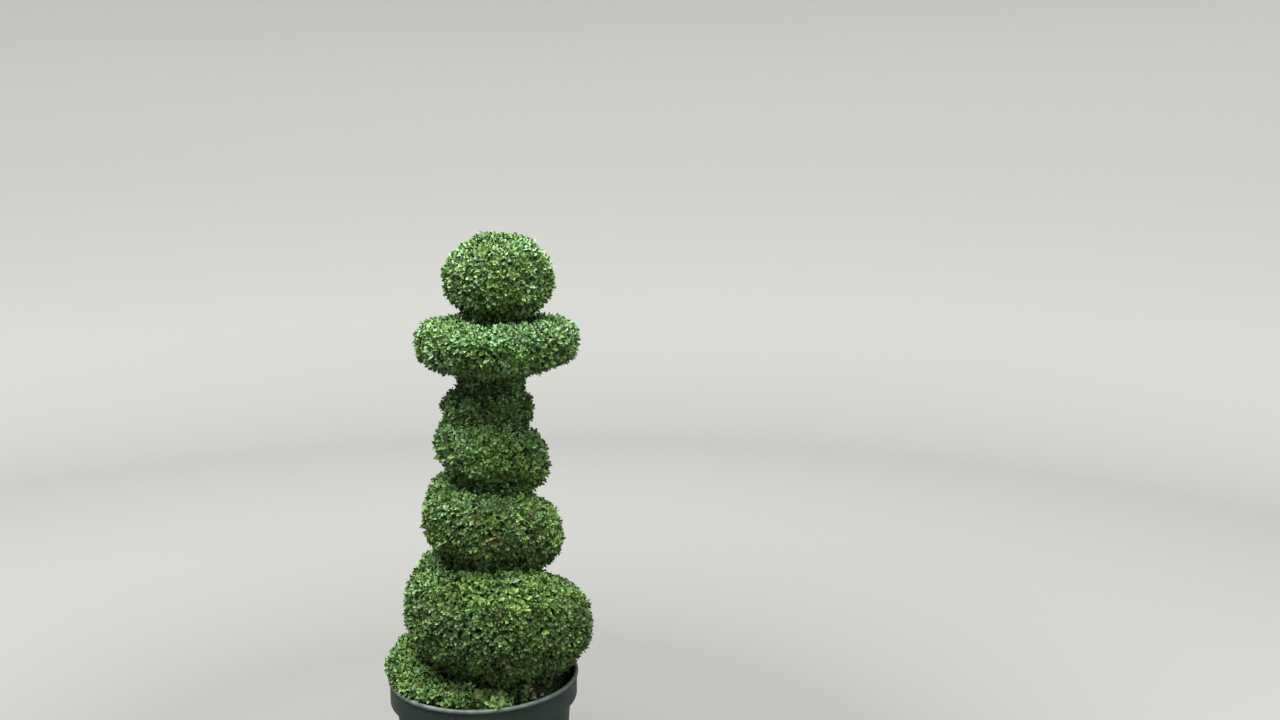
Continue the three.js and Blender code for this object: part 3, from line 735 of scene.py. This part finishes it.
def deal_kinds(tip, normal, latitude, inner, rng):
    """Index of each sprig's colour kind, drawn by weights for place and for painted light and shade."""
    light = np.clip(normal @ LIGHT_SIDE, 0, 1)
    under = smoothstep(-latitude, 0.35, 1.0)
    broad = ripple(tip, 0.16, 31)
    patch = ripple(tip, 0.10, 32)
    fresh_front, fresh_side, fresh_ball, shade_patch, shade_patch_middle, brown = (near(tip, *at) for at in PATCHES)
    # Painted shade: darker leaves low on the front and in the middle of the second turn, less where it is
    # fresh
    shade_patch = np.maximum(shade_patch * (1 - 0.8 * fresh_front), 0.4 * shade_patch_middle)
    high = smoothstep(tip[:, 2], 0.55, 1.15)
    low = 1 - high
    # Painted shadow on the top of the ball: fewer pale leaves there and more dark ones
    crown_shadow = smoothstep(tip[:, 2], 1.46, 1.54)
    # Painted light on the top ledges of the lower turns, which the turn above shades
    shelf_light = smoothstep(latitude, 0.4, 1.1) * low * (1 - inner)
    # Painted light: the pale kind where leaves face the light; painted shade on the side away, more low down
    sky = 2.4 * light ** 1.5 * (0.8 + 0.3 * broad) * mix(0.28, 1.0, high) * mix(1.0, 0.45, crown_shadow)
    shade_side = (1 - light) * mix(0.3, 1.15 - 0.6 * shelf_light, low)
    # Undersides get darker kinds as painted shade; inner sprigs too, partly shade and partly older leaves
    weights = {
        "sky_sheen": 0.03 + 0.2 * high + sky,
        "mid": 1.20 - 0.45 * under * low - 0.1 * high - 0.5 * shade_patch + 0.6 * shelf_light,
        "shaded": (0.05 + shade_side + 0.20 * broad + 1.2 * inner + 4.6 * shade_patch
                 + 0.6 * under * low + 0.5 * brown + 0.5 * crown_shadow),
        "young": (0.01 + 0.14 * np.clip(patch, 0, 1) ** 2 + 4.8 * fresh_front + 0.45 * shelf_light
                  + 2.0 * fresh_side + 0.5 * fresh_ball),
        "olive": 0.02 + 0.55 * under + 0.4 * inner + 0.9 * shade_patch + 1.8 * brown,
    }
    stack = np.stack([np.clip(weights[kind], 0, None) for kind in LEAF_KINDS], -1)
    steps = np.cumsum(stack / stack.sum(-1, keepdims=True), -1)
    return (rng.random(len(tip))[:, None] > steps).sum(-1).clip(0, len(LEAF_KINDS) - 1)


def kept_sprigs(tip, direction, kind, keep, rng, vigours=SHOOT_VIGOUR):
    """The sprigs to keep, once each has drawn its length and vigour."""
    length = rng.uniform(*SHOOT_LENGTH, len(tip))
    vigour = rng.uniform(*vigours, len(tip))
    return Sprigs(*(array[keep] for array in (tip, direction, length, kind, vigour)))


def grow_sprigs(mass, seed):
    """Sprigs of one mass: their tips meet the clipped surface, and some stand deeper inside."""
    rng = np.random.default_rng(seed)
    turn, latitude = mass.sites(SPRIGS_PER_AREA)
    count = len(turn)
    turn += rng.normal(0, TURN_SCATTER, count)
    latitude += rng.normal(0, LATITUDE_SCATTER, count)
    normal = mass.normal(turn, latitude)
    surface = mass.surface(turn, latitude)
    inner = rng.random(count) < INNER_SHARE
    bump = BUMP_DEPTH * (0.5 + 0.5 * ripple(surface, BUMP_LENGTH, 7))
    depth = rng.uniform(*SHOOT_DEPTH, count) + np.clip(bump, 0, None)
    depth += UNDER_DEPTH * smoothstep(-latitude, 0.30, 1.10)
    if mass.size is roll_size:
        depth += SHOULDER_DEPTH * smoothstep(latitude, 0.45, 1.10)
    depth = np.where(inner, rng.uniform(*INNER_DEPTH, count), depth)
    lean = normal + rng.normal(0, SHOOT_SPREAD, (count, 3))
    lean[:, 2] += SHOOT_LIFT
    direction = unit(lean)
    tip = surface - normal * depth[:, None]
    kind = deal_kinds(tip, normal, latitude, inner, rng)
    thin = (latitude < THINNED_LATITUDE) & (rng.random(count) < THINNED_SHARE)
    keep = ~thin & clear_of_solids(tip) & (tip[:, 2] > SOIL_TOP + SOIL_CLEARANCE)
    return kept_sprigs(tip, direction, kind, keep, rng)


def floor_sprigs(mass, top, seed, rise, density):
    """Sprigs on the flat top or underside of a mass, from near the trunk out to its throat."""
    rng = np.random.default_rng(seed)
    turn = np.linspace(mass.start, mass.end, int((mass.end - mass.start) * FLOOR_SPRIGS))
    count = len(turn)
    size = mass.size(turn)
    throat = (size["throat_top"] if top else size["throat_under"]) + 0 * turn
    radius = mix(throat * FLOOR_INNER, throat + FLOOR_RIM, np.sqrt(rng.random(count)))
    height = size["high"] if top else size["low"]
    way = 1 if top else -1
    tip = mass.place(turn, radius, height + rng.uniform(-FLOOR_SINK, rise, count) * way)
    outward = polar(math.pi - math.tau * turn, 1.0, 0.0)
    normal = np.array([0, 0, way]) + 0 * outward
    aim = outward * FLOOR_LEAN + normal * (1 if top else CEILING_DROOP)
    direction = unit(aim + rng.normal(0, FLOOR_SPREAD, (count, 3)))
    keep = clear_of_solids(tip) & (rng.random(count) < density * (throat / FLOOR_WIDEST) ** 2)
    latitude = np.full(count, way * math.pi / 2)
    kind = deal_kinds(tip, normal, latitude, np.zeros(count), rng)
    return kept_sprigs(tip, direction, kind, keep, rng)


def tail_end_sprigs(mass, seed):
    """Sprigs on the rounded end where the spiral starts, and the tuft that leans over the pot's lip."""
    rng = np.random.default_rng(seed)
    count = TAIL_END_SPRIGS
    latitude = rng.uniform(*TAIL_END_LATITUDES, count)
    turn = mass.start + np.clip(rng.uniform(*TAIL_END_TURNS, count), 0, None)
    part = np.sqrt(rng.random(count))
    size = mass.size(turn)
    centre = mass.place(turn, mix(size["throat_under"], size["reach"], 0.45), size["middle"])
    tip = mix(centre, mass.surface(turn, latitude), part[:, None])
    backwards = unit(mass.surface(turn, latitude) - mass.surface(turn + 0.01, latitude))
    at_end = (turn == mass.start)[:, None]
    tip = tip + backwards * rng.uniform(0.0, TAIL_END_BULGE, count)[:, None] * at_end
    aim = mix([0, 0, 1.0], backwards, mix(0.35, 0.75, at_end))
    direction = unit(aim + rng.normal(0, TAIL_END_SPREAD, (count, 3)))
    kind = rng.choice(len(LEAF_KINDS), count, p=TAIL_END_KINDS)
    tip[:LIP_SHOOTS] = LIP_PLACE + rng.normal(0, 1, (LIP_SHOOTS, 3)) * LIP_SPREAD
    direction[:LIP_SHOOTS] = unit(rng.normal(0, 0.2, (LIP_SHOOTS, 3)) + LIP_LEAN)
    kind[:LIP_SHOOTS] = list(LEAF_KINDS).index("young")
    keep = clear_of_solids(tip) & (tip[:, 2] > SOIL_TOP + 0.010)
    return kept_sprigs(tip, direction, kind, keep, rng, TAIL_END_VIGOUR)


def sprig_leaves(sprigs, seed):
    """Opposite pairs of leaves up each shoot, each pair a quarter turn from the last."""
    rng = np.random.default_rng(seed)
    count = len(sprigs.length)
    side = unit(np.cross(sprigs.direction, unit(rng.normal(size=(count, 3)))))
    other = np.cross(sprigs.direction, side)
    leaves = []
    for pair, (size, opening, part) in enumerate(zip(PAIR_LENGTHS, PAIR_OPEN, PAIR_PLACES)):
        for flip in (1, -1):
            out = (side if pair % 2 else other) * flip + rng.normal(0, PAIR_SCATTER, (count, 3))
            out = unit(out - sprigs.direction * np.sum(out * sprigs.direction, -1, keepdims=True))
            angle = (opening + rng.normal(0, PAIR_SCATTER, count))[:, None]
            along = sprigs.direction * np.cos(angle) + out * np.sin(angle)
            face = sprigs.direction * np.sin(angle) - out * np.cos(angle)
            swing = rng.normal(0, LEAF_TURN, count)[:, None]
            face = unit(face * np.cos(swing) + np.cross(along, face) * np.sin(swing))
            place = sprigs.length * (part + rng.normal(0, PLACE_SCATTER, count))
            root = sprigs.foot + sprigs.direction * place[:, None]
            length = size * sprigs.vigour * rng.uniform(*LEAF_SIZES, count)
            leaves.append((root, along, face, length, np.arange(count)))
    return [np.concatenate(arrays) for arrays in zip(*leaves)]


def leaf_pieces(mass, sprigs, materials, seed):
    """One piece of leaves for each colour kind."""
    rng = np.random.default_rng(seed)
    root, along, face, length, owner = sprig_leaves(sprigs, seed + 1)
    points = leaf_points(root, along, face, length)
    fits = clear_of_solids(points[:, :3]).all(1)
    sprig_tint = rng.normal(0.5, SPRIG_TINT, len(sprigs.length))
    tint = np.clip(sprig_tint[owner] + rng.normal(0, LEAF_TINT, len(owner)), 0, 1)
    for number, kind in enumerate(LEAF_KINDS):
        chosen = fits & (sprigs.kind[owner] == number)
        if chosen.any():
            node = "foliage_" + mass.name
            leaf_piece(f"leaves_{kind}_{mass.name}", points[chosen], tint[chosen], materials[kind], [node])


def nearest(points, targets):
    """Index of the nearest target for each point."""
    return np.concatenate([
        np.argmin(((block[:, None] - targets[None]) ** 2).sum(-1), 1)
        for block in np.array_split(points, max(len(points) // NEAREST_ROWS, 1))
    ])


def bent(start, end, steps, lift, rng, wobble):
    """Curved lines from starts to ends: they arch up or sag as lift says, with some wobble."""
    part = np.linspace(0, 1, steps)[None, :, None]
    reach = np.linalg.norm(end - start, axis=-1)[:, None, None]
    line = mix(start[:, None], end[:, None], part)
    line = line + part * (1 - part) * reach * lift * np.array([0, 0, 1.0])
    return line + rng.normal(0, wobble, line.shape) * reach * part * (1 - part) * 4


def grow_boughs(mass, rng):
    """Boughs from the trunk out to the middle of a mass, and the points that they end at."""
    count = max(int((mass.end - mass.start) * BOUGHS_PER_TURN), 5)
    turn = mix(mass.start + 0.02, mass.end - 0.02, (np.arange(count) + 0.5) / count)
    size = mass.size(turn)
    if mass.name == "ball":
        height = mix(size["low"], size["high"], np.linspace(0.25, 0.72, count))
        radius = np.full(count, 0.055)
    else:
        height = mix(size["low"], size["high"], rng.uniform(0.38, 0.6, count))
        radius = size["reach"] * rng.uniform(0.5, 0.62, count)
    end = mass.place(turn, radius, height)
    start_height = np.clip(height - radius * 0.75, TRUNK_FOOT + 0.03, TRUNK_TIP - 0.02)
    start = trunk_centre(start_height)
    lines = bent(start, end, BOUGH_STEPS, -0.25, rng, 0.012)
    thick = 0.0030 + 0.018 * radius
    radii = thick[:, None] * np.linspace(1.0, 0.62, BOUGH_STEPS)
    return lines, radii, end


def sticks(start, end, radii):
    """Straight three-sided sticks from starts to ends."""
    return swept(np.stack([start, end], 1), np.tile(radii, (len(start), 1)), 3)


def grow_wood(mass, sprigs, seed):
    """Boughs, branches, twigs and shoots of one mass, each as points and faces."""
    rng = np.random.default_rng(seed)
    lines, radii, forks = grow_boughs(mass, rng)
    boughs = swept(lines, radii, 7, 0.10, seed)
    turn, latitude = mass.sites(BRANCHES_PER_AREA)
    turn = np.concatenate([turn, np.full(6 if mass.start < 0 else 0, mass.start + 0.012)])
    latitude = np.concatenate([latitude, np.linspace(-0.8, 1.0, len(turn) - len(latitude))])
    surface = mass.surface(turn, latitude)
    depth = rng.uniform(*ANCHOR_DEPTH, len(turn))[:, None]
    anchor = surface - mass.normal(turn, latitude) * depth
    anchor = anchor[clear_of_solids(anchor)]
    fork = forks[nearest(anchor, forks)]
    branch_lines = bent(fork, anchor, BRANCH_STEPS, 0.12, rng, 0.025)
    branch_radii = np.linspace(*BRANCH_RADII, BRANCH_STEPS) * rng.uniform(0.8, 1.2, (len(anchor), 1))
    branches = swept(branch_lines, branch_radii, 4)
    joint = anchor[nearest(sprigs.foot, anchor)]
    twigs = sticks(joint, sprigs.foot, TWIG_RADII)
    shoots = sticks(sprigs.foot, sprigs.tip, SHOOT_RADII)
    return boughs, branches, twigs, shoots


def trunk_mesh(material):
    """Trunk with furrowed bark, from its flat cut at soil level to its tip in the ball."""
    part = np.linspace(0, 1, TRUNK_ROWS)
    z = TRUNK_FOOT + (TRUNK_TIP - TRUNK_FOOT) * part ** 1.2
    angle = np.arange(TRUNK_SIDES) * math.tau / TRUNK_SIDES
    swell = ROOT_SWELL * np.exp(-(z - TRUNK_FOOT) / ROOT_SWELL_HEIGHT)
    roots = 1 + swell[:, None] * np.sin(angle * 5 + 0.6)
    ring = polar(angle, 1.0, 0.0)
    points = trunk_centre(z)[:, None] + ring * (trunk_radius(z)[:, None] * roots)[..., None]
    tall = points * [1, 1, 0.3]
    relief = ripple(tall, 0.012, 3) * 0.0008 + ripple(tall, 0.006, 4) * 0.0005
    relief += ripple(points, 0.03, 5) * 0.0007
    points += ring * (relief - 0.0012)[..., None]
    index = np.arange(TRUNK_ROWS * TRUNK_SIDES).reshape(TRUNK_ROWS, TRUNK_SIDES)
    faces = [ring_quads(index), index[:1, ::-1], index[-1:]]
    piece("trunk_bark", points.reshape(-1, 3), faces, material, "bark", ["trunk"])


# Pot
def pot_mesh(material):
    """Tapered pot with a stepped collar and a rolled lip, drain holes near the edge of its base."""
    foot = FOOT_RADIUS
    wall_top = POT_COLLAR_LOW - 0.004
    bead = LIP_WIDTH / 2
    bead_centre = (POT_RADIUS - bead, POT_HEIGHT - bead)
    outer = [(0, 0), (BASE_RADIUS * 0.45, 0), (BASE_RADIUS - 0.03, 0)]
    outer += arc((BASE_RADIUS - foot, foot), foot, -90, 2, 9)
    outer += [(mix(BASE_RADIUS, WALL_RADIUS, t), mix(foot, wall_top, t)) for t in np.linspace(0, 1, 26)[1:]]
    outer += arc((WALL_RADIUS + STEP_ROUND, wall_top), STEP_ROUND, 180, 90, 5)[1:]
    outer += arc((POT_COLLAR_RADIUS - STEP_ROUND, POT_COLLAR_LOW + 0.002), STEP_ROUND, -90, 0, 6)
    heights = np.linspace(POT_COLLAR_LOW + 0.006, POT_HEIGHT - 2 * bead - 0.003, 8)
    outer += [(POT_COLLAR_RADIUS, z) for z in heights]
    outer += arc(bead_centre, bead, -75, 90, 14)
    inner = arc(bead_centre, bead, 90, 205, 9)[1:]
    inner_collar = POT_COLLAR_RADIUS - WALL
    inner += [(inner_collar, z) for z in np.linspace(POT_HEIGHT - 0.022, LEDGE + 0.002, 6)]
    inner += [(inner_collar - 0.002, LEDGE), (WALL_RADIUS - WALL, LEDGE - 0.0005)]
    inner += [(BASE_RADIUS - WALL, foot), (BASE_RADIUS - WALL - 0.007, BASE), (0, BASE)]
    points, faces = lathed(outer + inner, POT_SEGMENTS)
    wobble = ripple(points * [1, 1, 0.4], 0.45, 11) * POT_WOBBLE * smoothstep(points[:, 2], 0.05, 0.3)
    points += unit(points * [1, 1, 0]) * wobble[:, None]
    pot = piece("nursery_pot", points, faces, material, "pot_plastic", ["pot"])
    angle = (np.arange(DRAIN_HOLES) + 0.5) * math.tau / DRAIN_HOLES
    drill_profile = [(0, -0.02), (DRAIN_RADIUS, -0.02), (DRAIN_RADIUS, 0.02), (0, 0.02)]
    points, faces = lathed(drill_profile, 24)
    drills = merged([(points + middle, faces) for middle in polar(angle, DRAIN_CIRCLE, 0.0)])
    drill = piece("drill", *drills, material, "pot_plastic")
    cut = pot.modifiers.new("drain", "BOOLEAN")
    cut.operation = "DIFFERENCE"
    cut.solver = "MANIFOLD"
    cut.object = drill
    bpy.context.view_layer.objects.active = pot
    bpy.ops.object.modifier_apply(modifier=cut.name)
    bpy.data.objects.remove(drill)
    pot.data.set_sharp_from_angle(angle=SHARP_ANGLE)


# Growing mix
def soil_height(x, y):
    """Lumpy top of the growing mix, mounded a little round the stem."""
    flat = np.stack([x, y, 0 * x], -1)
    from_stem = np.hypot(x - AXIS_X, y)
    lumps = ripple(flat, 0.05, 21) * 0.0022 + ripple(flat, 0.017, 22) * 0.0018
    lumps += ripple(flat, 0.008, 23) * 0.001
    return SOIL_TOP + lumps + SOIL_MOUND * np.exp(-(from_stem / SOIL_MOUND_SPREAD) ** 2) - 0.003


def soil_mesh(material):
    """The growing mix: it fills the pot, close to its wall and base, up to a lumpy top."""
    radius = SOIL_RADIUS - 0.0002
    rings = [radius * math.sqrt((i + 1) / SOIL_RINGS) for i in range(SOIL_RINGS)]
    rings[0] = radius * 0.05
    bottom = BASE + 0.0004
    below = [(radius, LEDGE + 0.0004), (WALL_RADIUS - WALL - SOIL_GAP, LEDGE + 0.0003),
             (BASE_RADIUS - WALL - SOIL_GAP, FOOT_RADIUS + SOIL_GAP), (BASE_RADIUS - WALL - 0.008, bottom)]
    top_to_bottom = [(0, SOIL_TOP)] + [(ring, SOIL_TOP) for ring in rings] + below + [(0, bottom)]
    points, faces = lathed(top_to_bottom[::-1], SOIL_SEGMENTS)
    top = points[:, 2] > SOIL_TOP - 0.001
    points[top, 2] = soil_height(points[top, 0], points[top, 1])
    piece("growing_mix_bed", points, faces, material, "growing_mix", ["soil"])


def litter_sites(count, rng):
    """Even random places on the soil."""
    radius = (SOIL_RADIUS - 0.012) * np.sqrt(rng.random(count))
    points = polar(rng.uniform(0, math.tau, count), radius, 0.0)
    points[:, 2] = soil_height(points[:, 0], points[:, 1])
    return points


def chip_mesh(material):
    """Bark chips in the growing mix: small skewed blocks."""
    rng = np.random.default_rng(61)
    centre = litter_sites(CHIPS, rng)
    size = rng.uniform(*CHIP_SIZES, (CHIPS, 1)) * rng.uniform(0.35, 1.0, (CHIPS, 3))
    corner = np.array([[x, y, z] for x in (-1, 1) for y in (-1, 1) for z in (-1, 1)], float)
    local = corner * size[:, None] * rng.uniform(0.65, 1.0, (CHIPS, 8, 3))
    angle = rng.uniform(0, math.pi, CHIPS)
    tilt = rng.normal(0, 0.35, CHIPS)
    x = local[..., 0] * np.cos(angle)[:, None] - local[..., 1] * np.sin(angle)[:, None]
    y = local[..., 0] * np.sin(angle)[:, None] + local[..., 1] * np.cos(angle)[:, None]
    z = local[..., 2] * 0.6 + x * np.sin(tilt)[:, None]
    points = np.stack([x, y, z], -1) + centre[:, None] + [0, 0, 0.0008]
    box = np.array([[0, 1, 3, 2], [4, 6, 7, 5], [0, 4, 5, 1], [2, 3, 7, 6], [0, 2, 6, 4], [1, 5, 7, 3]])
    faces = (box + len(corner) * np.arange(CHIPS)[:, None, None]).reshape(-1, 4)
    piece("bark_chips", points.reshape(-1, 3), [faces], material, "growing_mix", smooth=False)


def fallen_shoots(count, heaped, rng):
    """Short clipped shoots on the growing mix: some lie anywhere, some stand in a small heap in front."""
    angle = rng.uniform(0, math.tau, count + heaped)
    steep = np.concatenate([rng.normal(0.12, 0.08, count), rng.uniform(0.7, 2.2, heaped)])
    direction = unit(polar(angle, 1.0, steep))
    length = rng.uniform(0.020, 0.034, count + heaped)
    heap = HEAP_PLACE + rng.normal(0, HEAP_SPREAD, (heaped, 2))
    heap = np.column_stack([heap, soil_height(*heap.T)])
    foot = np.concatenate([litter_sites(count, rng), heap])
    tip = foot + direction * length[:, None] + [0, 0, 0.004]
    return Sprigs(tip, direction, length, np.zeros(len(tip), int), rng.uniform(0.75, 1.0, len(tip)))


def clipping_mesh(materials):
    """Leaves and clipped shoots fallen on the growing mix: some dry and pale, most still green."""
    rng = np.random.default_rng(62)
    for kind, count, shoots, heaped in CLIPPINGS:
        root = litter_sites(count, rng) + [0, 0, 0.0025]
        along = unit(polar(rng.uniform(0, math.tau, count), 1.0, rng.normal(0.05, 0.22, count)))
        face = rng.normal(0, 0.35, (count, 3)) + [0, 0, 1]
        face = unit(face - along * np.sum(face * along, -1, keepdims=True))
        length = rng.uniform(0.012, 0.019, count)
        loose = leaf_points(root, along, face, length)
        held = leaf_points(*sprig_leaves(fallen_shoots(shoots, heaped, rng), 63 + shoots)[:4])
        points = np.concatenate([loose, held])
        points = points[clear_of_solids(points).all(1)]
        leaf_piece(f"clippings_{kind}", points, rng.uniform(0.2, 0.9, len(points)), materials[kind])


# Stage
def studio():
    """A pale floor that curves up into a round backdrop, and soft lamps inside it."""
    outer = STAGE_RADIUS + STAGE_CURVE
    profile = [(0, -STAGE_DROP), (2.0, -STAGE_DROP), (STAGE_RADIUS, -STAGE_DROP)]
    profile += arc((STAGE_RADIUS, STAGE_CURVE), STAGE_CURVE, math.degrees(0.1) - 90, 0, 14)
    profile += [(outer, STAGE_HEIGHT), (outer + 0.1, STAGE_HEIGHT), (outer + 0.2, -0.3), (0, -0.3)]
    points, faces = lathed(profile, 96)
    mesh = bpy.data.meshes.new("floor")
    mesh.from_pydata(points.tolist(), [], [face for block in faces for face in block.tolist()])
    mesh.shade_smooth()
    mesh.materials.append(floor_material())
    linked("floor", mesh)

    world = bpy.data.worlds.new("soft_sky")
    world.use_nodes = True
    sky = world.node_tree.nodes["Background"].inputs
    sky["Color"].default_value = (0.93, 0.97, 1.0, 1.0)
    sky["Strength"].default_value = 0.33
    bpy.context.scene.world = world

    lamp("key", (-0.45, -0.45, 4.6), (0, 0, 1.0), 3.6, 1000, (1.0, 0.995, 0.97))
    lamp("fill", (2.7, -1.9, 2.0), (0, 0, 0.7), 2.2, 56, (1.0, 0.99, 0.95))
    lamp("back", (0.6, 2.8, 3.4), (0, 0, 1.1), 2.4, 40, (0.98, 0.99, 1.0))


def lamp(name, place, target, size, power, colour):
    """A square soft lamp that faces its target."""
    light = bpy.data.lights.new(name, "AREA")
    light.size = size
    light.energy = power
    light.color = colour
    made = linked(name, light)
    made.location = place
    made.rotation_euler = (Vector(target) - Vector(place)).to_track_quat("-Z", "Y").to_euler()


def camera():
    """The photograph's view: pot left of the middle, seen from a little above the ball."""
    data = bpy.data.cameras.new("camera")
    data.sensor_width = 36.0
    data.lens = 33.47
    made = linked("camera", data)
    made.location = (0.0, -3.033, 1.693)
    down = math.radians(8.70)
    right = math.radians(7.85)
    made.rotation_euler = (math.pi / 2 - down, 0.0, -right)
    bpy.context.scene.camera = made


def foliage(bark, twig_bark, shoots_bark, leaf_materials):
    """Every mass: leaves by kind, and the wood that carries them."""
    boughs, branches = [], []
    for number, mass in enumerate(MASSES):
        seed = 1000 + 50 * number
        groups = [grow_sprigs(mass, seed)]
        if mass.top:
            groups.append(floor_sprigs(mass, True, seed + 1, *mass.top))
        if mass.under:
            groups.append(floor_sprigs(mass, False, seed + 3, *mass.under))
        if mass.name == "tail":
            groups.append(tail_end_sprigs(mass, seed + 2))
        sprigs = Sprigs(*(np.concatenate(arrays) for arrays in zip(*groups)))
        leaf_pieces(mass, sprigs, leaf_materials, seed + 10)
        bough, branch, twigs, shoots = grow_wood(mass, sprigs, seed + 20)
        boughs.append(bough)
        branches.append(branch)
        piece("twigs_" + mass.name, *twigs, twig_bark, "bark")
        piece("shoots_" + mass.name, *shoots, shoots_bark, "foliage")
    piece("boughs", *merged(boughs), bark, "bark")
    piece("branches", *merged(branches), twig_bark, "bark")


bpy.context.scene.view_settings.view_transform = "Standard"
camera()
studio()
bark = bark_material("bark", (0.150, 0.118, 0.085), (0.042, 0.032, 0.024), 95.0)
twig_bark = bark_material("twig_bark", (0.082, 0.074, 0.042), (0.030, 0.026, 0.016), 240.0)
leaf_materials = {kind: leaf_material(kind, colour) for kind, colour in LEAF_KINDS.items()}
leaf_materials["dry"] = leaf_material("dry", (0.370, 0.360, 0.215))
trunk_mesh(bark)
foliage(bark, twig_bark, shoot_material(), leaf_materials)
pot_mesh(plastic_material())
soil_mesh(soil_material())
chip_mesh(bark_material("chip_bark", (0.088, 0.074, 0.044), (0.022, 0.019, 0.011), 300.0))
clipping_mesh(leaf_materials)
